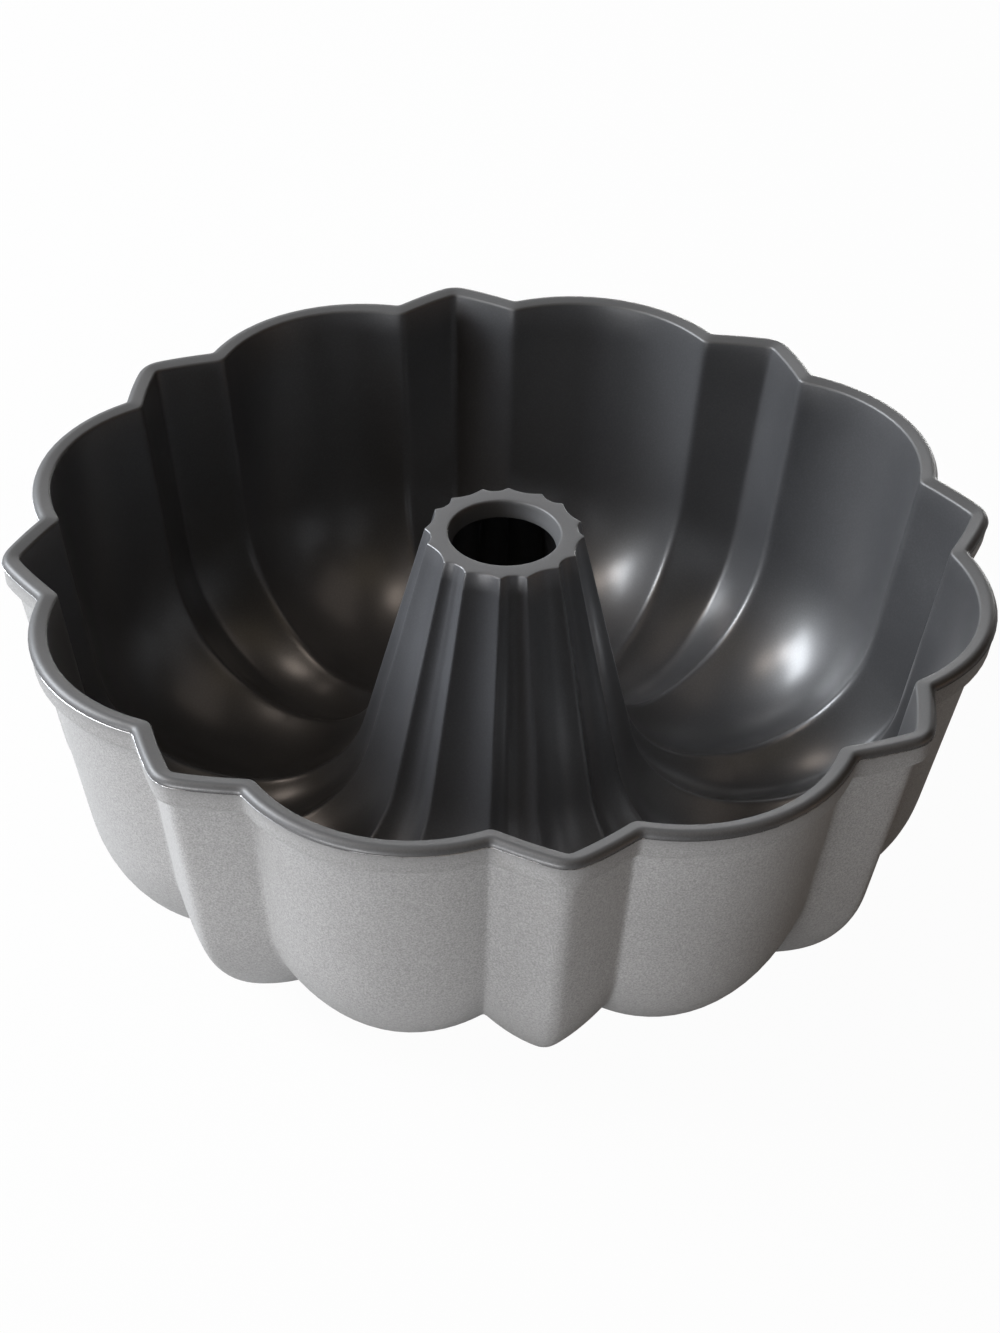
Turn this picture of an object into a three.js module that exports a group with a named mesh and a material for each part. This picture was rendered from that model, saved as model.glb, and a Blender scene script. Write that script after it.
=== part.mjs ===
// Fluted tube pan: a one-piece aluminium casting with a dark non-stick lining and a pale outer coat.
// Millimetres, +Z up. The origin is on the axis of the tube, in the plane that the pan stands on.
import * as THREE from 'three';
import { mergeVertices } from 'three/addons/utils/BufferGeometryUtils.js';

const radians = THREE.MathUtils.degToRad;

// Round lobes and pointed ridges take turns round the pan. In the cavity a rib stands on each side of a
// point.
const LOBE_COUNT = 8;
const RIB_ANGLE_AT_RIM = radians(8.2);
const RIB_ANGLE_AT_TUBE = radians(9.4);

// The cavity, measured on its finished surface. Rim and tube top are level.
const CAVITY_DEPTH = 91.9;
const RIM_RADIUS = 123.9;
const TUBE_RADIUS = 20.7;
const TUBE_DRAFT = radians(14.7);
const LEAST_FLOOR = 1;

// The cavity's outline on three planes through the axis: in a point's groove, mid-lobe and along a rib.
// inset and tubeInset are taken off the rim's and the tube's radius, and rise is added to the floor's level.
const POINT = { inset: 0, draft: radians(9.8), corner: 40.5, root: 32.9, tubeInset: 1.5, rise: 0 };
const LOBE = { inset: 1.2, draft: radians(10.1), corner: 42, root: 32.9, tubeInset: 1.5, rise: 0 };
const RIB = { inset: 9.2, draft: radians(8.3), corner: 41, root: 28.9, tubeInset: 0, rise: 5.6 };

// The metal around the cavity.
const WALL = 2.5;
const RIM_WIDTH = 4.6;
const RIM_EDGE = 1.5;
const BAND_HEIGHT = 8;
const BAND_SLANT = 0.8;
const BAND_RUNOUT = 2.4;
const FOOT_CUT = 0.6;

// The tube's top, a ring with a bore that narrows down to its lip. Below the lip the tube is hollow.
const TUBE_TOP_WIDTH = 6.1;
const BORE_TAPER = 1.2;
const LIP_HEIGHT = 5;
const BORE_RADIUS = TUBE_RADIUS - TUBE_TOP_WIDTH;
const LIP_RADIUS = BORE_RADIUS - BORE_TAPER;

// Coats, counted inwards from the finished surface.
const LINING_THICKNESS = 0.1;
const OUTER_COAT_THICKNESS = 0.1;

// Stations round one lobe, as shares of the way from a point's or a lobe's middle to the rib between them.
const POINT_TIP = 0.09;
const POINT_STATIONS = [POINT_TIP, 0.9];
const LOBE_STATIONS = [0.94, 0.62, 0.31];
const INNER_CORNER_STEPS = 4;
const INNER_ROOT_STEPS = 3;
const OUTER_CORNER_STEPS = 3;
const OUTER_ROOT_STEPS = 2;

// Levels above the plane that the pan stands on.
const CAVITY_FLOOR = WALL - FOOT_CUT;
const RIM_LEVEL = CAVITY_FLOOR + CAVITY_DEPTH;
const BAND_LEVEL = RIM_LEVEL - BAND_HEIGHT;
const WALL_LEVEL = BAND_LEVEL - BAND_RUNOUT;
const LIP_LEVEL = RIM_LEVEL - LIP_HEIGHT;

const PITCH = 2 * Math.PI / LOBE_COUNT;

// The flanks of a point slant across the radius, so a wall that thick reaches further out along the radius.
const ribRimRadius = RIM_RADIUS - RIB.inset;
const flank = Math.atan2(
  RIM_RADIUS - POINT.inset - ribRimRadius * Math.cos(RIB_ANGLE_AT_RIM),
  ribRimRadius * Math.sin(RIB_ANGLE_AT_RIM),
);
const FLANK_SPREAD = 1 / Math.cos(flank);
const LINES = [
  { ...RIB, spread: FLANK_SPREAD },
  { ...LOBE, spread: 1 },
  { ...POINT, spread: FLANK_SPREAD },
];

// Radius of a line's wall at a level, the given distance outside the cavity.
function wallRadius(line, level, outside = 0) {
  const drawnIn = Math.tan(line.draft) * (RIM_LEVEL - level);
  return RIM_RADIUS - line.inset - drawnIn + outside * line.spread / Math.cos(line.draft);
}

// Radius of a line's tube side at a level, the given distance inside the tube's outer surface.
function tubeRadius(line, level, inside = 0) {
  const spreadOut = Math.tan(TUBE_DRAFT) * (RIM_LEVEL - level);
  return TUBE_RADIUS - line.tubeInset + spreadOut - inside / Math.cos(TUBE_DRAFT);
}

// Points along an arc, with a radius that may change from its start to its end.
function arc(centre, startRadius, endRadius, start, end, steps) {
  return Array.from({ length: steps + 1 }, (_, step) => {
    const share = step / steps;
    const angle = THREE.MathUtils.lerp(start, end, share);
    const radius = THREE.MathUtils.lerp(startRadius, endRadius, share);
    return new THREE.Vector2(centre.x + radius * Math.cos(angle), centre.y + radius * Math.sin(angle));
  });
}

// The bend from the wall to the floor and the bend from the floor to the tube along one line, the given
// distance outside the cavity. They stop where the cut starts. The two ends beside the cut get the level that
// the full bend would reach, so that the flat left by the cut is wide as well as long.
function bends(line, outside, cut, cornerSteps, rootSteps) {
  const floor = CAVITY_FLOOR + line.rise;
  const wallFoot = wallRadius(line, floor);
  const tubeFoot = tubeRadius(line, floor);
  const cornerReach = Math.tan((Math.PI / 2 - line.draft) / 2);
  const rootReach = Math.tan((Math.PI / 2 - TUBE_DRAFT) / 2);
  const room = wallFoot - tubeFoot - LEAST_FLOOR;
  const share = Math.min(1, room / (line.corner * cornerReach + line.root * rootReach));
  const corner = line.corner * share;
  const root = line.root * share;
  const cornerCut = Math.acos(1 - cut / (corner + outside));
  const rootCut = Math.acos(1 - cut / (root + outside));
  const cornerCentre = new THREE.Vector2(wallFoot - corner * cornerReach, floor + corner);
  const rootCentre = new THREE.Vector2(tubeFoot + root * rootReach, floor + root);
  const down = -Math.PI / 2;
  const cornerStart = corner + outside * line.spread;
  const cornerEnd = corner + outside;
  const rootEnd = root + outside;
  const fromWall = arc(cornerCentre, cornerStart, cornerEnd, -line.draft, down + cornerCut, cornerSteps);
  const toTube = arc(rootCentre, rootEnd, rootEnd, down - rootCut, TUBE_DRAFT - Math.PI, rootSteps);
  fromWall[cornerSteps].y -= cut;
  toTube[0].y -= cut;
  return [...fromWall, ...toTube];
}

// Stations of one lobe and the two half points beside it, from one point's tip to the next.
function sectorStations() {
  const half = [
    ...POINT_STATIONS.map((share) => ({ onPoint: true, share })),
    ...LOBE_STATIONS.map((share) => ({ onPoint: false, share })),
  ];
  const firstHalf = half.map((station) => ({ ...station, side: 1 }));
  const secondHalf = half.map((station) => ({ ...station, side: -1 })).reverse();
  return [...firstHalf, { onPoint: false, share: 0, side: 1 }, ...secondHalf];
}
const STATIONS = sectorStations();
const COLUMNS = STATIONS.length * LOBE_COUNT;

// A ring round the axis through a rib, a lobe and a point, each given as radius and level. Lobes are bowed,
// and the flanks of a point go from flat, at roundness 0, to bowed, at roundness 1. What would lie below the
// plane that the pan stands on is cut off flat.
function ring([rib, lobe, point], ribAngle, roundness) {
  const points = [];
  for (let sector = 0; sector < LOBE_COUNT; sector += 1) {
    for (const { onPoint, share, side } of STATIONS) {
      const flat = (1 - share) / (1 - POINT_TIP);
      const bow = 1 - share * share;
      const depth = onPoint ? THREE.MathUtils.lerp(flat, bow, roundness) : bow;
      const place = rib.clone().lerp(onPoint ? point : lobe, depth);
      const fromPoint = onPoint ? share * ribAngle : PITCH / 2 - share * (PITCH / 2 - ribAngle);
      const angle = side > 0 ? sector * PITCH + fromPoint : (sector + 1) * PITCH - fromPoint;
      const level = Math.max(place.y, 0);
      points.push(new THREE.Vector3(place.x * Math.cos(angle), place.x * Math.sin(angle), level));
    }
  }
  return points;
}

// A ring on every line at one level, with the radius that the given function finds for the line.
function levelRing(level, radiusOn, ribAngle, roundness) {
  return ring(LINES.map((line) => new THREE.Vector2(radiusOn(line), level)), ribAngle, roundness);
}

// Rings along both bends of the channel. The ribs spread and the flanks grow round on the way to the tube.
function bendRings(outside, cuts, cornerSteps, rootSteps) {
  const lines = LINES.map((line, index) => bends(line, outside, cuts[index], cornerSteps, rootSteps));
  const last = lines[0].length - 1;
  return lines[0].map((_, step) => {
    const share = step / last;
    const ribAngle = THREE.MathUtils.lerp(RIB_ANGLE_AT_RIM, RIB_ANGLE_AT_TUBE, share);
    return ring(lines.map((points) => points[step]), ribAngle, share);
  });
}

// The finished surface, ring by ring: over the rim, down the wall, across the floor, up the tube, through the
// bore, and back down the hollow, along the underside and up the outer wall. The coats meet where the hollow
// starts to flare and under the edge of the rim.
function finishedRings() {
  const rimRing = (level, radiusOn) => levelRing(level, radiusOn, RIB_ANGLE_AT_RIM, 0);
  const tubeRing = (level, radiusOn) => levelRing(level, radiusOn, RIB_ANGLE_AT_TUBE, 1);
  const rimOuter = (line) => wallRadius(line, RIM_LEVEL) + RIM_WIDTH * line.spread;
  const bandFoot = (line) => rimOuter(line) - BAND_SLANT * line.spread;
  const inside = [
    rimRing(RIM_LEVEL, (line) => wallRadius(line, RIM_LEVEL) + RIM_EDGE * line.spread),
    rimRing(RIM_LEVEL - RIM_EDGE, (line) => wallRadius(line, RIM_LEVEL - RIM_EDGE)),
    ...bendRings(0, [0, 0, 0], INNER_CORNER_STEPS, INNER_ROOT_STEPS),
    tubeRing(RIM_LEVEL, (line) => tubeRadius(line, RIM_LEVEL)),
    tubeRing(RIM_LEVEL, () => BORE_RADIUS),
  ];
  const hollow = [
    tubeRing(LIP_LEVEL, () => LIP_RADIUS),
    tubeRing(LIP_LEVEL, (line) => tubeRadius(line, LIP_LEVEL, WALL)),
  ];
  const cuts = [0, FOOT_CUT, FOOT_CUT];
  const underside = bendRings(WALL, cuts, OUTER_CORNER_STEPS, OUTER_ROOT_STEPS).reverse();
  const outside = [
    rimRing(WALL_LEVEL, (line) => wallRadius(line, WALL_LEVEL, WALL)),
    rimRing(BAND_LEVEL, bandFoot),
  ];
  const bandTop = rimRing(RIM_LEVEL - RIM_EDGE, rimOuter);
  const rimTopEdge = rimRing(RIM_LEVEL, (line) => rimOuter(line) - RIM_EDGE * line.spread);
  const rings = [...inside, ...hollow, ...underside, ...outside, bandTop, rimTopEdge];
  return { rings, flareRow: rings.indexOf(underside[0]), bandRow: rings.indexOf(bandTop) };
}

// Two triangles in each column between two rings, named by their first vertices. A reversed strip has the
// same facets, facing the other way, so that a coat and the metal under it share them exactly.
function strip(from, to, reversed = false) {
  const middle = (STATIONS.length - 1) / 2;
  const triangles = [];
  for (let column = 0; column < COLUMNS; column += 1) {
    const right = (column + 1) % COLUMNS;
    const [a, b, c, d] = [from + column, from + right, to + right, to + column];
    const corners = column % STATIONS.length < middle ? [a, b, d, b, c, d] : [a, b, c, a, c, d];
    triangles.push(...(reversed ? corners.reverse() : corners));
  }
  return triangles;
}

const { rings: RINGS, flareRow: FLARE_ROW, bandRow: BAND_ROW } = finishedRings();
const ROWS = RINGS.length;
const finishedRow = (row) => (row % ROWS) * COLUMNS;
const metalRow = (row) => (ROWS + row % ROWS) * COLUMNS;

// The rows from one ring to another, onwards round the section.
function rowsBetween(first, last) {
  return Array.from({ length: (last - first + ROWS) % ROWS }, (_, step) => (first + step) % ROWS);
}
const ALL_ROWS = Array.from({ length: ROWS }, (_, row) => row);
const LINED_ROWS = rowsBetween(BAND_ROW, FLARE_ROW);
const COATED_ROWS = rowsBetween(FLARE_ROW, BAND_ROW);

// Vertices of the finished surface, then of the metal under its coats.
function vertices() {
  const finished = new THREE.BufferGeometry().setFromPoints(RINGS.flat());
  finished.setIndex(ALL_ROWS.flatMap((row) => strip(finishedRow(row), finishedRow(row + 1))));
  finished.computeVertexNormals();
  const normals = finished.getAttribute('normal');
  const metal = RINGS.flat().map((point, vertex) => {
    const row = Math.floor(vertex / COLUMNS);
    const lined = LINED_ROWS.includes(row) || row === FLARE_ROW;
    const thickness = lined ? LINING_THICKNESS : OUTER_COAT_THICKNESS;
    const outward = new THREE.Vector3().fromBufferAttribute(normals, vertex);
    return point.clone().addScaledVector(outward, -thickness);
  });
  return [...RINGS.flat(), ...metal];
}
const VERTICES = vertices();

function castingFacets() {
  return ALL_ROWS.flatMap((row) => strip(metalRow(row), metalRow(row + 1)));
}

// A coat over the given rows: its outer skin, its seat on the metal and a closing edge at both ends.
function coatFacets(rows) {
  const first = rows[0];
  const last = rows[rows.length - 1] + 1;
  return [
    ...strip(finishedRow(first), metalRow(first), true),
    ...rows.flatMap((row) => strip(finishedRow(row), finishedRow(row + 1))),
    ...strip(finishedRow(last), metalRow(last)),
    ...rows.flatMap((row) => strip(metalRow(row), metalRow(row + 1), true)),
  ];
}

function piece(name, facets, look) {
  const shared = new THREE.BufferGeometry().setFromPoints(VERTICES);
  shared.setIndex(facets);
  const geometry = mergeVertices(shared);
  geometry.computeVertexNormals();
  const mesh = new THREE.Mesh(geometry, new THREE.MeshStandardMaterial(look));
  mesh.name = name;
  return mesh;
}

const pan = new THREE.Group();
pan.name = 'fluted_tube_pan';
pan.add(
  piece('pan_casting', castingFacets(), { color: 0xc9cbcd, roughness: 0.5, metalness: 1 }),
  piece('nonstick_lining', coatFacets(LINED_ROWS), { color: 0x3d3d40, roughness: 0.42, metalness: 0.35 }),
  piece('outer_coat', coatFacets(COATED_ROWS), { color: 0xb5b5b3, roughness: 0.6, metalness: 0.4 }),
);

export default pan;
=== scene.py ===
"""Fluted tube pan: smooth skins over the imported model, their finishes, a studio and the camera."""

import math

import bpy
import numpy as np
from mathutils import Matrix, Vector


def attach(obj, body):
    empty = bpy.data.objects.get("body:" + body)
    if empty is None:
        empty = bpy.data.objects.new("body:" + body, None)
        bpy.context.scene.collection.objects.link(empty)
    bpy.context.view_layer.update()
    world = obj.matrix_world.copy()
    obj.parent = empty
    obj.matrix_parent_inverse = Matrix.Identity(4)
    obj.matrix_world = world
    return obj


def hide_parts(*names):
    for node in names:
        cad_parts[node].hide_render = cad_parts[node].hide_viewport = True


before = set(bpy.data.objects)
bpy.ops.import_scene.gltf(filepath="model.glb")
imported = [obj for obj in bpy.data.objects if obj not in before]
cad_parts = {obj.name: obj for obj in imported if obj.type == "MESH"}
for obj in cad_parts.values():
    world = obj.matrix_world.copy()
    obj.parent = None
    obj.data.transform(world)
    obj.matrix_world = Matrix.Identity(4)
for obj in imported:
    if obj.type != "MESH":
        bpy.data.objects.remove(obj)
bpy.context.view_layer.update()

# Sizes of the pan, in millimetres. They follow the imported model, apart from the rim's width and the tube's
# drafts and bends, which are nearer to the photograph and stay inside the model's box.
MM = 0.001
LOBE_COUNT = 8
RIM_RADIUS = 123.9
CAVITY_DEPTH = 91.9
TUBE_RADIUS = 20.7
RIB_ANGLE_AT_RIM = math.radians(8.2)
RIB_ANGLE_AT_TUBE = math.radians(9.4)
WALL = 2.5
RIM_WIDTH = 4.4
BAND_HEIGHT = 8.0
BAND_SLANT = 0.8
BAND_RUNOUT = 2.4
FOOT_CUT = 0.6
BORE_RADIUS = 14.6
LIP_RADIUS = 13.4
LIP_HEIGHT = 5.0
COAT = 0.1

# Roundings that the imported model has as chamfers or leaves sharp, in millimetres.
RIM_OUTER_ROUND = 1.9
RIM_INNER_ROUND = 0.9
TUBE_TOP_ROUND = 0.5
BORE_ROUND = 0.6
BAND_ROUND = 0.9
RUNOUT_ROUND = 1.6
LIP_FOOT_ROUND = 0.4

# How far the seam of the two coats lies below the rim's top and in from its outer edge, and how far that top
# falls towards the cavity.
SEAM_DROP = 2.2
SEAM_INSET = 0.1
RIM_DISH = 1.2

# Softness of the creases round the pan, in millimetres, at a point and at a rib.
INNER_SOFTNESS = np.array((0.6, 1.0))
RIM_SOFTNESS = np.array((2.9, 0.6))
WALL_SOFTNESS = np.array((1.4, 0.45))
TUBE_TOP_SOFTNESS = np.array((0.3, 0.25))
TUBE_FOOT_SOFTNESS = np.array((0.5, 0.45))
# The depth from which the tube's creases are as soft as at its foot.
TUBE_FOOT_DEPTH = 0.6 * CAVITY_DEPTH
# How round the flanks of a point have grown at the tube: 0 is flat, 1 is a bow, more is a fuller bow.
POINT_BOW = 1.5
# How far the ribs have spread towards the tube at the end of the wall's bend and at the start of the tube's.
WALL_BEND_SPREAD = 0.5
TUBE_BEND_SPREAD = 0.64

PITCH = 2 * math.pi / LOBE_COUNT
CAVITY_FLOOR = WALL - FOOT_CUT
RIM_LEVEL = CAVITY_FLOOR + CAVITY_DEPTH
BAND_LEVEL = RIM_LEVEL - BAND_HEIGHT
WALL_LEVEL = BAND_LEVEL - BAND_RUNOUT
LIP_LEVEL = RIM_LEVEL - LIP_HEIGHT


class Line:
    """The cavity's outline on one plane through the axis.

    inset and tube_inset are how far it lies inside the largest radius of the rim and of the tube, draft and
    tube_draft are in degrees, corner and root are the radii of the bends at the wall and at the tube, and
    rise is the height of its floor over the lowest one."""

    def __init__(self, inset, draft, corner, rise, root, tube_inset, tube_draft):
        self.inset = inset
        self.draft = math.radians(draft)
        self.corner = corner
        self.floor = CAVITY_FLOOR + rise
        self.root = root
        self.tube_inset = tube_inset
        self.tube_draft = math.radians(tube_draft)
        # How much further an outside offset reaches on this plane than square to the surface.
        self.spread = 1.0

    def wall(self, level, outside=0.0):
        drawn_in = math.tan(self.draft) * (RIM_LEVEL - level)
        return RIM_RADIUS - self.inset - drawn_in + outside * self.spread / math.cos(self.draft)

    def tube(self, level, inside=0.0):
        spread_out = math.tan(self.tube_draft) * (RIM_LEVEL - level)
        return TUBE_RADIUS - self.tube_inset + spread_out - inside / math.cos(self.tube_draft)


RIB = Line(9.2, 8.3, 41, 5.6, 29.8, 0, 14.1)
LOBE = Line(1.2, 10.1, 42, 0, 35.8, 1.5, 12.9)
POINT = Line(0, 9.8, 40.5, 0, 35.8, 1.5, 12.9)
rib_rim = RIM_RADIUS - RIB.inset
flank = math.atan2(
    RIM_RADIUS - rib_rim * math.cos(RIB_ANGLE_AT_RIM), rib_rim * math.sin(RIB_ANGLE_AT_RIM)
)
RIB.spread = POINT.spread = 1 / math.cos(flank)


def rounded(corners, bends):
    """Points along a polyline whose inner corners are rounded.

    bends has, for each inner corner, the radius, the steps of the bend, the steps of the straight before it,
    and how far the ribs have spread towards the tube at its start and end. Returns the points and that
    spread."""
    corners = [np.array(c, float) for c in corners]
    points, spread = [corners[0]], [bends[0][3]]
    for index, (radius, steps, straight, first, last) in enumerate(bends, start=1):
        here = corners[index]
        to_prev = corners[index - 1] - here
        to_next = corners[index + 1] - here
        to_prev /= np.linalg.norm(to_prev)
        to_next /= np.linalg.norm(to_next)
        half = math.acos(float(np.clip(to_prev @ to_next, -1, 1))) / 2
        reach = radius / math.tan(half)
        middle = to_prev + to_next
        centre = here + middle / np.linalg.norm(middle) * radius / math.sin(half)
        start, end = here + to_prev * reach - centre, here + to_next * reach - centre
        turn = math.pi - 2 * half
        begin = points[-1]
        for step in range(1, straight + 1):
            share = step / straight
            points.append(begin + (centre + start - begin) * share)
            spread.append(spread[-1] + (first - spread[-1]) * share)
        for step in range(1, steps + 1):
            share = step / steps
            mix = start * math.sin((1 - share) * turn) + end * math.sin(share * turn)
            points.append(centre + mix / math.sin(turn))
            spread.append(first + (last - first) * share)
    return points, spread


def finish_straight(points, spread, target, steps):
    """Adds a last straight to the points of a rounded polyline."""
    begin, target = points[-1], np.array(target, float)
    for step in range(1, steps + 1):
        points.append(begin + (target - begin) * step / steps)
        spread.append(spread[-1])
    return np.array(points), np.array(spread)


def rim_outer(line):
    return line.wall(RIM_LEVEL) + RIM_WIDTH * line.spread


def flare_start(line):
    """Where the hollow of the tube starts to flare out, and the lining gives way to the outer coat."""
    under = line.floor - WALL
    draft = line.tube_draft
    reach = (line.root + WALL) * math.tan((math.pi / 2 - draft) / 2)
    return (line.tube(under, WALL) - reach * math.sin(draft), under + reach * math.cos(draft))


def lining_section(line):
    """From the seam outside the rim over it, down the wall, up the tube and by the bore into the hollow."""
    corners = [
        (rim_outer(line) - SEAM_INSET, RIM_LEVEL - SEAM_DROP),
        (rim_outer(line), RIM_LEVEL),
        (line.wall(RIM_LEVEL - RIM_DISH), RIM_LEVEL - RIM_DISH),
        (line.wall(line.floor), line.floor),
        (line.tube(line.floor), line.floor),
        (line.tube(RIM_LEVEL), RIM_LEVEL),
        (BORE_RADIUS, RIM_LEVEL),
        (LIP_RADIUS, LIP_LEVEL),
        (line.tube(LIP_LEVEL, WALL), LIP_LEVEL),
        flare_start(line),
    ]
    bends = [
        (RIM_OUTER_ROUND, 8, 2, 0, 0),
        (RIM_INNER_ROUND, 9, 3, 0, 0),
        (line.corner, 26, 12, 0, WALL_BEND_SPREAD),
        (line.root, 18, 2, TUBE_BEND_SPREAD, 1),
        (TUBE_TOP_ROUND, 6, 12, 1, 1),
        (BORE_ROUND, 6, 3, 1, 1),
        (LIP_FOOT_ROUND, 4, 3, 1, 1),
        (LIP_FOOT_ROUND, 3, 2, 1, 1),
    ]
    points, spread = rounded(corners, bends)
    return finish_straight(points, spread, corners[-1], 8)


def coat_section(line):
    """From the seam outside the rim down the band and the wall and under the pan to the hollow's seam."""
    under = line.floor - WALL
    corners = [
        (rim_outer(line) - SEAM_INSET, RIM_LEVEL - SEAM_DROP),
        (rim_outer(line) - BAND_SLANT * line.spread, BAND_LEVEL),
        (line.wall(WALL_LEVEL, WALL), WALL_LEVEL),
        (line.wall(under, WALL), under),
        (line.tube(under, WALL), under),
        (line.tube(LIP_LEVEL, WALL), LIP_LEVEL),
    ]
    bends = [
        (BAND_ROUND, 5, 4, 0, 0),
        (RUNOUT_ROUND, 5, 2, 0, 0),
        (line.corner + WALL, 26, 12, 0, WALL_BEND_SPREAD),
        (line.root + WALL, 18, 2, TUBE_BEND_SPREAD, 1),
    ]
    points, spread = rounded(corners, bends)
    return np.array(points), np.array(spread)


# Columns of half a lobe sector, as shares of the way to the rib from the point's tip and from mid-lobe.
POINT_SHARES = [0, 0.05, 0.1, 0.16, 0.24, 0.36, 0.5, 0.64, 0.76, 0.84, 0.9, 0.95, 1]
LOBE_SHARES = [0.98, 0.955, 0.92, 0.87, 0.8, 0.71, 0.61, 0.5, 0.38, 0.26, 0.13, 0]
# A bell curve that softens the creases.
KERNEL = np.linspace(-3, 3, 31)
KERNEL_WEIGHTS = np.exp(-0.5 * KERNEL**2) / np.exp(-0.5 * KERNEL**2).sum()


def skin(section, outside):
    """Rings of points, row by row, of the surface that follows a section round the pan.

    The creases are as soft as the rim's on its outer edge and change from there down the wall."""
    (rib, spread), (lobe, _), (point, _) = (section(line) for line in (RIB, LOBE, POINT))
    if outside:
        rim_share = np.clip((rib[:, 1:] - WALL_LEVEL) / (BAND_HEIGHT - SEAM_DROP), 0, 1)
        softness = WALL_SOFTNESS + (RIM_SOFTNESS - WALL_SOFTNESS) * rim_share
    else:
        rim_share = np.clip((rib[:, :1] - rib_rim) / (RIM_WIDTH * RIB.spread), 0, 1)
        softness = INNER_SOFTNESS + (RIM_SOFTNESS - INNER_SOFTNESS) * rim_share
    rib_angle = (RIB_ANGLE_AT_RIM + (RIB_ANGLE_AT_TUBE - RIB_ANGLE_AT_RIM) * spread)[:, None]
    on_point = np.array(POINT_SHARES) * rib_angle
    on_lobe = PITCH / 2 - np.array(LOBE_SHARES) * (PITCH / 2 - rib_angle)
    half = np.concatenate([on_point, on_lobe], axis=1)
    angle = np.concatenate([half, PITCH - half[:, -2:0:-1]], axis=1)
    folded = np.minimum(angle, PITCH - angle)

    down = np.clip((RIM_LEVEL - rib[:, 1:]) / TUBE_FOOT_DEPTH, 0, 1)
    tube_softness = TUBE_TOP_SOFTNESS + (TUBE_FOOT_SOFTNESS - TUBE_TOP_SOFTNESS) * down
    softness = softness + (tube_softness - softness) * np.clip(spread[:, None] * 2 - 1, 0, 1)
    at_point, at_rib = softness.T[..., None]
    near = np.clip(folded / rib_angle, 0, 1)
    soft = at_point + (at_rib - at_point) * near
    mean_radius = rib[:, :1]
    spots = angle[..., None] + KERNEL * (soft / mean_radius)[..., None]
    spots = np.abs((spots + PITCH / 2) % PITCH - PITCH / 2)
    limit = rib_angle[..., None]
    point_share = np.clip(spots / limit, 0, 1)
    lobe_share = np.clip((PITCH / 2 - spots) / (PITCH / 2 - limit), 0, 1)
    bow = POINT_BOW * spread[:, None, None]
    point_depth = (1 - point_share) * (1 - bow) + (1 - point_share**2) * bow
    lobe_depth = 1 - lobe_share**2
    beside_point = spots < limit
    place = np.empty(angle.shape + (2,))
    for axis in range(2):
        base = rib[:, axis, None, None]
        to_point = base + (point[:, axis, None, None] - base) * point_depth
        to_lobe = base + (lobe[:, axis, None, None] - base) * lobe_depth
        place[..., axis] = (np.where(beside_point, to_point, to_lobe) * KERNEL_WEIGHTS).sum(axis=-1)
    level = np.maximum(place[..., 1], 0)
    turns = np.arange(LOBE_COUNT)[:, None, None] * PITCH + angle[None]
    radius = np.broadcast_to(place[None, ..., 0], turns.shape)
    level = np.broadcast_to(level[None], turns.shape)
    rings = np.stack([radius * np.cos(turns), radius * np.sin(turns), level], axis=-1)
    rows = rings.transpose(1, 0, 2, 3)
    return rows.reshape(rows.shape[0], -1, 3) * MM


def normals_of(rows):
    """Unit normals of a grid of rings whose section is closed."""
    around = np.roll(rows, -1, axis=1) - np.roll(rows, 1, axis=1)
    along = np.roll(rows, -1, axis=0) - np.roll(rows, 1, axis=0)
    normal = np.cross(around, along)
    return normal / np.maximum(np.linalg.norm(normal, axis=-1, keepdims=True), 1e-12)


def grid_faces(rows, columns, offset=0, wrap=False, flip=False):
    """Quads between consecutive rings of a grid."""
    row = np.arange(rows if wrap else rows - 1)[:, None]
    column = np.arange(columns)[None]
    right = (column + 1) % columns
    below = (row + 1) % rows
    start, end = row * columns, below * columns
    quad = np.stack([start + column, start + right, end + right, end + column], axis=-1)
    quad = quad.reshape(-1, 4) + offset
    return quad[:, ::-1] if flip else quad


# Edges with a sharper turn than this stay sharp.
SHARP_ANGLE = math.radians(70)


def mesh_object(name, points, faces):
    mesh = bpy.data.meshes.new(name)
    mesh.from_pydata(points.tolist(), [], faces.tolist())
    mesh.validate()
    mesh.polygons.foreach_set("use_smooth", np.ones(len(mesh.polygons), dtype=bool))
    mesh.set_sharp_from_angle(angle=SHARP_ANGLE)
    mesh.update()
    piece = bpy.data.objects.new(name, mesh)
    bpy.context.scene.collection.objects.link(piece)
    return piece


def shell(name, rows, normals, thickness):
    """A closed coat of the given thickness under a skin."""
    count, columns = rows.shape[:2]
    under = rows - normals * thickness
    points = np.concatenate([rows.reshape(-1, 3), under.reshape(-1, 3)])
    back = count * columns
    column = np.arange(columns)
    right = (column + 1) % columns
    first = np.stack([right, column, column + back, right + back], axis=-1)
    last = (count - 1) * columns
    end = np.stack([column + last, right + last, right + last + back, column + last + back], axis=-1)
    faces = np.concatenate(
        [grid_faces(count, columns), grid_faces(count, columns, back, flip=True), first, end]
    )
    return mesh_object(name, points, faces)


lining_rows = skin(lining_section, outside=False)
coat_rows = skin(coat_section, outside=True)
# Both skins run away from the seam, so the section closes when one of them is read backwards.
closed = np.concatenate([lining_rows, coat_rows[-2:0:-1]])
outward = normals_of(closed)
lining_normals = outward[: len(lining_rows)]
coat_normals = np.concatenate([outward[:1], outward[: len(lining_rows) - 2 : -1]])
coat_normals = coat_normals[: len(coat_rows)]

lining = shell("nonstick_lining_skin", lining_rows, lining_normals, COAT * MM)
coat = shell("outer_coat_skin", coat_rows[::-1], coat_normals[::-1], COAT * MM)
metal = closed - outward * COAT * MM
casting = mesh_object(
    "pan_casting_body", metal.reshape(-1, 3), grid_faces(metal.shape[0], metal.shape[1], wrap=True)
)


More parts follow.
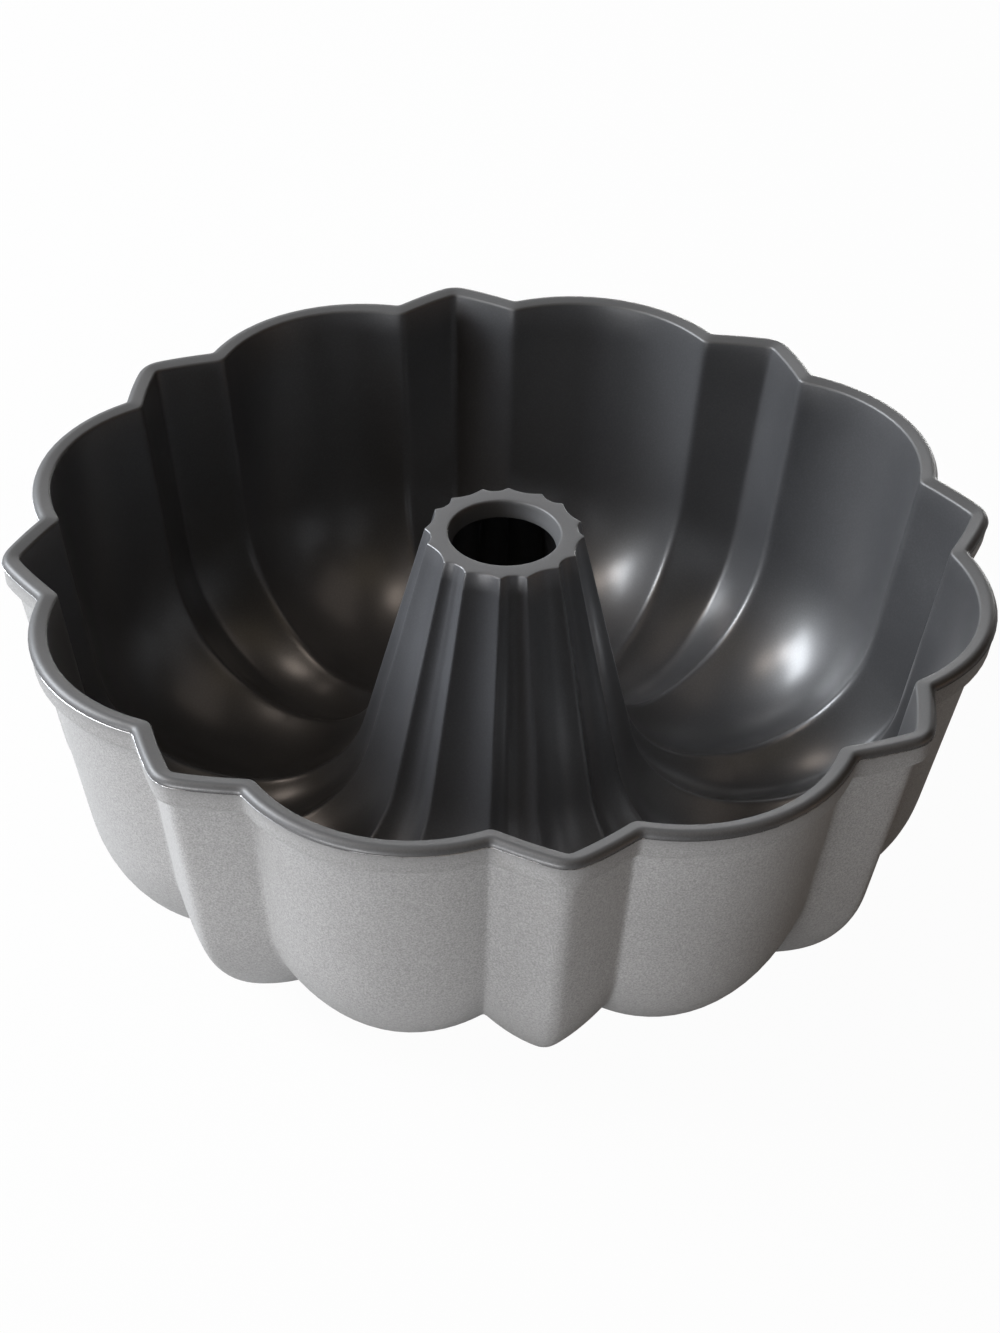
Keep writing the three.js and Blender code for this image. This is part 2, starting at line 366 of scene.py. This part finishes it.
# Finishes. Each is built from nodes, with grain in real sizes.
class Finish:
    """A small helper to wire a material's nodes."""

    def __init__(self, name):
        self.material = bpy.data.materials.new(name)
        self.material.use_nodes = True
        self.tree = self.material.node_tree
        self.tree.nodes.clear()
        self.output = self.node("ShaderNodeOutputMaterial")
        self.surface = self.node("ShaderNodeBsdfPrincipled")
        self.link(self.surface.outputs["BSDF"], self.output.inputs["Surface"])
        self.place = self.node("ShaderNodeTexCoord").outputs["Object"]

    def node(self, kind, **settings):
        made = self.tree.nodes.new(kind)
        for key, value in settings.items():
            setattr(made, key, value)
        return made

    def link(self, source, target):
        self.tree.links.new(source, target)

    def noise(self, size_mm, detail=2.0, roughness=0.5):
        made = self.node("ShaderNodeTexNoise")
        made.inputs["Scale"].default_value = 1 / (size_mm * MM)
        made.inputs["Detail"].default_value = detail
        made.inputs["Roughness"].default_value = roughness
        self.link(self.place, made.inputs["Vector"])
        return made.outputs["Fac"]

    def ramp(self, value, stops):
        made = self.node("ShaderNodeValToRGB")
        elements = made.color_ramp.elements
        while len(elements) < len(stops):
            elements.new(0.5)
        for element, (position, colour) in zip(elements, stops):
            element.position = position
            element.color = (*colour, 1)
        self.link(value, made.inputs["Fac"])
        return made.outputs["Color"]

    def tones(self, size_mm, colours):
        """A slow change between two colours."""
        first, second = colours
        return self.ramp(self.noise(size_mm, 3), [(0.3, first), (0.7, second)])

    def grained(self, colour, noise, dark, light, light_from):
        """A colour with a fine grain, dark and light being what the grain multiplies it by."""
        shades = [(0.3, (dark,) * 3), (0.5, (1, 1, 1)), (light_from, (light,) * 3)]
        made = self.node("ShaderNodeMix", data_type="RGBA", blend_type="MULTIPLY")
        made.inputs["Factor"].default_value = 1
        self.link(colour, made.inputs["A"])
        self.link(self.ramp(noise, shades), made.inputs["B"])
        return made.outputs["Result"]

    def span(self, value, low, high, start=0.3, end=0.7):
        """Maps a value from start to end onto low to high; the usual start and end suit a noise."""
        made = self.node("ShaderNodeMapRange")
        made.inputs["From Min"].default_value = start
        made.inputs["From Max"].default_value = end
        made.inputs["To Min"].default_value = low
        made.inputs["To Max"].default_value = high
        self.link(value, made.inputs["Value"])
        return made.outputs["Result"]

    def level(self):
        made = self.node("ShaderNodeSeparateXYZ")
        self.link(self.place, made.inputs["Vector"])
        return made.outputs["Z"]

    def above(self, level_mm, fade_mm):
        """A mask that grows from 0 at a level to 1 at the end of the fade over it."""
        return self.span(self.level(), 0, 1, level_mm * MM, (level_mm + fade_mm) * MM)

    def beyond(self, radius_mm, fade_mm):
        """A mask that grows from 0 at a radius to 1 at the end of the fade outside it."""
        return self.span(self.from_axis(), 0, 1, radius_mm * MM, (radius_mm + fade_mm) * MM)

    def plan_place(self):
        """The place with its level left out."""
        parts = self.node("ShaderNodeSeparateXYZ")
        self.link(self.place, parts.inputs["Vector"])
        flat = self.node("ShaderNodeCombineXYZ")
        self.link(parts.outputs["X"], flat.inputs["X"])
        self.link(parts.outputs["Y"], flat.inputs["Y"])
        return flat.outputs["Vector"]

    def from_axis(self):
        length = self.node("ShaderNodeVectorMath", operation="LENGTH")
        self.link(self.plan_place(), length.inputs[0])
        return length.outputs["Value"]

    def outward(self):
        """How far the surface faces away from the axis."""
        away = self.node("ShaderNodeVectorMath", operation="NORMALIZE")
        self.link(self.plan_place(), away.inputs[0])
        facing = self.node("ShaderNodeVectorMath", operation="DOT_PRODUCT")
        self.link(away.outputs["Vector"], facing.inputs[0])
        self.link(self.node("ShaderNodeTexCoord").outputs["Normal"], facing.inputs[1])
        return facing.outputs["Value"]

    def math(self, operation, first, second):
        made = self.node("ShaderNodeMath", operation=operation)
        self.link(first, made.inputs[0])
        self.link(second, made.inputs[1])
        return made.outputs["Value"]

    def product(self, first, second):
        return self.math("MULTIPLY", first, second)

    def total(self, first, second):
        return self.math("ADD", first, second)

    def larger(self, first, second):
        return self.math("MAXIMUM", first, second)

    def blend(self, share, first, colour):
        """The first colour, with a plain colour over it by the given share."""
        made = self.node("ShaderNodeMix", data_type="RGBA", blend_type="MIX")
        self.link(share, made.inputs["Factor"])
        self.link(first, made.inputs["A"])
        made.inputs["B"].default_value = (*colour, 1)
        return made.outputs["Result"]

    def bump(self, height, depth_mm, strength):
        made = self.node("ShaderNodeBump")
        made.inputs["Strength"].default_value = strength
        made.inputs["Distance"].default_value = depth_mm * MM
        self.link(height, made.inputs["Height"])
        self.link(made.outputs["Normal"], self.surface.inputs["Normal"])


# Colours of the finishes. Tones are the two ends of a slow change over the surface.
LINING_TONES = ((0.031, 0.032, 0.035), (0.038, 0.039, 0.042))
# Painted sheen: a lighter colour laid over the tube's lining, and how much of it.
TUBE_PAINTED_SHEEN = (0.5, 0.52, 0.58)
TUBE_PAINTED_SHEEN_SHARE = 0.036
PALE_TOPS = (0.075, 0.075, 0.074)
DARK_EDGE = (0.035, 0.035, 0.036)
COAT_TONES = ((0.3, 0.298, 0.294), (0.323, 0.321, 0.317))
# The dark lining dusted under the rim; the same colour darkens the band as a painted shade.
COAT_DUST_AND_SHADE = (0.05, 0.05, 0.05)
METAL_TONES = ((0.55, 0.56, 0.57), (0.63, 0.63, 0.64))
# Distances from the axis, in millimetres: the tube's painted sheen is full inside the first and gone outside
# the second, and the rim's masks start outside the third.
TUBE_PAINTED_SHEEN_INSIDE = 34
TUBE_PAINTED_SHEEN_OUTSIDE = 46
OFF_TUBE = 50


def lining_finish():
    finish = Finish("nonstick_coat")
    finish.surface.inputs["Specular IOR Level"].default_value = 0.8
    finish.surface.inputs["Coat Roughness"].default_value = 0.28
    dark = finish.grained(
        finish.tones(18, LINING_TONES), finish.noise(0.5, 1), dark=0.85, light=1.3, light_from=0.72
    )
    # Painted sheen: the tube is painted a shade lighter than the walls, standing in for the key light on its
    # lit side.
    painted_tube_sheen = finish.span(
        finish.from_axis(), TUBE_PAINTED_SHEEN_SHARE, 0, start=TUBE_PAINTED_SHEEN_INSIDE * MM, end=TUBE_PAINTED_SHEEN_OUTSIDE * MM
    )
    dark = finish.blend(painted_tube_sheen, dark, TUBE_PAINTED_SHEEN)
    # The rim and the tube's top are duller and paler than the cavity, but the rim's outer edge is dark.
    on_top = finish.above(RIM_LEVEL - 0.12, fade_mm=0.1)
    in_bore = finish.product(
        finish.above(LIP_LEVEL - 0.3, fade_mm=0.6),
        finish.span(finish.from_axis(), 1, 0, start=(BORE_RADIUS + 0.3) * MM, end=(BORE_RADIUS + 0.7) * MM),
    )
    off_tube = finish.beyond(OFF_TUBE, fade_mm=10)
    speckle = finish.span(finish.noise(0.45, 2), -0.25, 0.25)
    facing_out = finish.span(finish.total(finish.outward(), speckle), 0, 0.9, start=0.4, end=0.9)
    edge = finish.product(off_tube, facing_out)
    on_rim = finish.larger(edge, finish.product(finish.above(RIM_LEVEL - 2.3, fade_mm=1), off_tube))
    dull = finish.larger(finish.larger(on_top, in_bore), on_rim)
    paled = finish.blend(finish.span(dull, 0, 0.5, start=0, end=1), dark, PALE_TOPS)
    finish.link(finish.blend(edge, paled, DARK_EDGE), finish.surface.inputs["Base Color"])
    finish.link(finish.span(dull, 0.5, 0.56, start=0, end=1), finish.surface.inputs["Roughness"])
    finish.link(finish.span(dull, 1, 0.1, start=0, end=1), finish.surface.inputs["Coat Weight"])
    finish.bump(finish.noise(0.6, 2), depth_mm=0.03, strength=0.2)
    return finish.material


def coat_finish():
    finish = Finish("sparkle_coat")
    finish.surface.inputs["Metallic"].default_value = 0.2
    pale = finish.grained(
        finish.tones(40, COAT_TONES), finish.noise(0.45, 2, 0.6), dark=0.74, light=1.28, light_from=0.7
    )
    # Painted shade: the band is painted a shade darker, for its face turning slightly down, and under the
    # rim it is dusted with the dark lining.
    band = finish.span(
        finish.level(), 0, 0.16, start=(BAND_LEVEL - 0.4) * MM, end=(BAND_LEVEL + 0.6) * MM
    )
    speckle = finish.span(finish.noise(0.45, 2), -0.22, 0.22)
    near_rim = finish.total(finish.above(RIM_LEVEL - 6.5, fade_mm=5), speckle)
    dust_and_band_shade = finish.total(band, finish.span(near_rim, 0, 0.25, start=0.3, end=1))
    finish.link(finish.blend(dust_and_band_shade, pale, COAT_DUST_AND_SHADE), finish.surface.inputs["Base Color"])
    finish.link(finish.span(finish.noise(0.9, 1), 0.45, 0.6), finish.surface.inputs["Roughness"])
    finish.bump(finish.noise(0.6, 2), depth_mm=0.04, strength=0.25)
    return finish.material


def metal_finish():
    finish = Finish("cast_aluminium")
    finish.surface.inputs["Metallic"].default_value = 1
    finish.link(finish.tones(6, METAL_TONES), finish.surface.inputs["Base Color"])
    finish.link(finish.span(finish.noise(1.2, 2), 0.4, 0.55), finish.surface.inputs["Roughness"])
    finish.bump(finish.noise(0.8, 2), depth_mm=0.05, strength=0.3)
    return finish.material


for piece, node, slot, material in (
    (lining, "nonstick_lining", "nonstick_coat", lining_finish()),
    (coat, "outer_coat", "sparkle_coat", coat_finish()),
    (casting, "pan_casting", "cast_aluminium", metal_finish()),
):
    piece.data.materials.append(material)
    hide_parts(node)
    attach(piece, "root")

# Camera, fitted to the photograph: its place is given from the middle of the rim's top, in millimetres.
SENSOR_WIDTH = 36
NEAREST_SEEN = 10
IMAGE_LONG_SIDE = 1333
FOCAL_PIXELS = 2759.6
DISTANCE = 709.78
ELEVATION = math.radians(37.57)
ROLL = math.radians(1.89)
OFFSET_RIGHT = -1.14
OFFSET_UP = -34.58
TURN = math.radians(-7.83)


def make_camera():
    back = Vector((0, -math.cos(ELEVATION), math.sin(ELEVATION)))
    right = Vector((1, 0, 0))
    up = back.cross(right)
    rolled_right = right * math.cos(ROLL) + up * math.sin(ROLL)
    rolled_up = up * math.cos(ROLL) - right * math.sin(ROLL)
    place = back * DISTANCE + rolled_right * OFFSET_RIGHT + rolled_up * OFFSET_UP
    turn = Matrix.Rotation(TURN, 3, "Z")
    axes = Matrix([turn @ rolled_right, turn @ rolled_up, turn @ back]).transposed()
    data = bpy.data.cameras.new("camera")
    data.sensor_width = SENSOR_WIDTH
    data.lens = FOCAL_PIXELS * SENSOR_WIDTH / IMAGE_LONG_SIDE
    data.clip_start = NEAREST_SEEN * MM
    camera = bpy.data.objects.new("camera", data)
    bpy.context.scene.collection.objects.link(camera)
    camera.matrix_world = Matrix.Translation((turn @ place + Vector((0, 0, RIM_LEVEL))) * MM) @ axes.to_4x4()
    bpy.context.scene.camera = camera


make_camera()


# Studio, in metres.
FLOOR_REACH = 6.0
FLOOR_DROP = 0.0002
FLOOR_GREY = 0.42
# How white the camera sees the floor; the rest of what it sees there is the lit floor with its shadow.
FLOOR_WHITENESS = 0.97
AMBIENT = 0.015


def make_floor():
    mesh = bpy.data.meshes.new("floor")
    corners = [(x * FLOOR_REACH, y * FLOOR_REACH, 0) for x, y in ((-1, -1), (1, -1), (1, 1), (-1, 1))]
    mesh.from_pydata(corners, [], [(0, 1, 2, 3)])
    floor = bpy.data.objects.new("floor", mesh)
    floor.location.z = -FLOOR_DROP
    bpy.context.scene.collection.objects.link(floor)
    material = bpy.data.materials.new("floor")
    material.use_nodes = True
    tree = material.node_tree
    tree.nodes.clear()
    output = tree.nodes.new("ShaderNodeOutputMaterial")
    diffuse = tree.nodes.new("ShaderNodeBsdfDiffuse")
    diffuse.inputs["Color"].default_value = (FLOOR_GREY, FLOOR_GREY, FLOOR_GREY, 1)
    glow = tree.nodes.new("ShaderNodeEmission")
    glow.inputs["Color"].default_value = (1, 1, 1, 1)
    path = tree.nodes.new("ShaderNodeLightPath")
    seen = tree.nodes.new("ShaderNodeMath")
    seen.operation = "MAXIMUM"
    tree.links.new(path.outputs["Is Camera Ray"], seen.inputs[0])
    tree.links.new(path.outputs["Is Transmission Ray"], seen.inputs[1])
    share = tree.nodes.new("ShaderNodeMath")
    share.operation = "MULTIPLY"
    share.inputs[1].default_value = FLOOR_WHITENESS
    tree.links.new(seen.outputs[0], share.inputs[0])
    mix = tree.nodes.new("ShaderNodeMixShader")
    tree.links.new(share.outputs[0], mix.inputs["Fac"])
    tree.links.new(diffuse.outputs["BSDF"], mix.inputs[1])
    tree.links.new(glow.outputs["Emission"], mix.inputs[2])
    tree.links.new(mix.outputs["Shader"], output.inputs["Surface"])
    mesh.materials.append(material)


def make_world():
    world = bpy.data.worlds.new("studio")
    world.use_nodes = True
    tree = world.node_tree
    tree.nodes.clear()
    output = tree.nodes.new("ShaderNodeOutputWorld")
    path = tree.nodes.new("ShaderNodeLightPath")
    ambient = tree.nodes.new("ShaderNodeBackground")
    ambient.inputs["Color"].default_value = (1, 1, 1, 1)
    ambient.inputs["Strength"].default_value = AMBIENT
    white = tree.nodes.new("ShaderNodeBackground")
    white.inputs["Strength"].default_value = 1
    white.inputs["Color"].default_value = (1, 1, 1, 1)
    mix = tree.nodes.new("ShaderNodeMixShader")
    tree.links.new(path.outputs["Is Camera Ray"], mix.inputs["Fac"])
    tree.links.new(ambient.outputs["Background"], mix.inputs[1])
    tree.links.new(white.outputs["Background"], mix.inputs[2])
    tree.links.new(mix.outputs["Shader"], output.inputs["Surface"])
    bpy.context.scene.world = world


AIM = Vector((0, 0, 0.05))
LAMP_DISTANCE = 1.4
# Name, azimuth and elevation in degrees, width and height in metres, power in watts, colour.
LAMPS = (
    ("key", 165, 28, 0.85, 0.6, 36, (0.9, 0.945, 1)),
    ("upper", 184, 42, 0.3, 0.2, 4.5, (1, 0.95, 0.93)),
    ("high", 195, 58, 0.36, 0.36, 2.5, (1, 0.85, 0.74)),
    ("low", 231, 1.2, 0.8, 0.14, 14.9, (0.98, 0.98, 1)),
    ("back", 92, 29, 1.6, 0.6, 6.5, (1, 1, 1)),
    ("warm", 335, 3, 0.6, 0.14, 0.8, (1, 0.62, 0.36)),
    ("side", 62, 1.2, 1.0, 0.14, 10, (1, 1, 1)),
    ("over", 340, 60, 1.2, 0.9, 1.5, (1, 0.85, 0.74)),
    ("front", 265, 55, 1.0, 0.6, 0.45, (1, 0.8, 0.5)),
)


def softbox(name, azimuth, elevation, width, height, power, colour):
    """A lamp on a half sphere round the pan, facing it."""
    data = bpy.data.lights.new(name, "AREA")
    data.shape = "RECTANGLE"
    data.size = width
    data.size_y = height
    data.energy = power
    data.color = colour
    lamp = bpy.data.objects.new(name, data)
    lamp.visible_camera = False
    bpy.context.scene.collection.objects.link(lamp)
    turn, lift = math.radians(azimuth), math.radians(elevation)
    away = Vector((math.cos(turn) * math.cos(lift), math.sin(turn) * math.cos(lift), math.sin(lift)))
    lamp.location = AIM + away * LAMP_DISTANCE
    lamp.rotation_euler = (-away).to_track_quat("-Z", "Y").to_euler()


make_floor()
make_world()
for lamp in LAMPS:
    softbox(*lamp)
bpy.context.scene.view_settings.view_transform = "Standard"
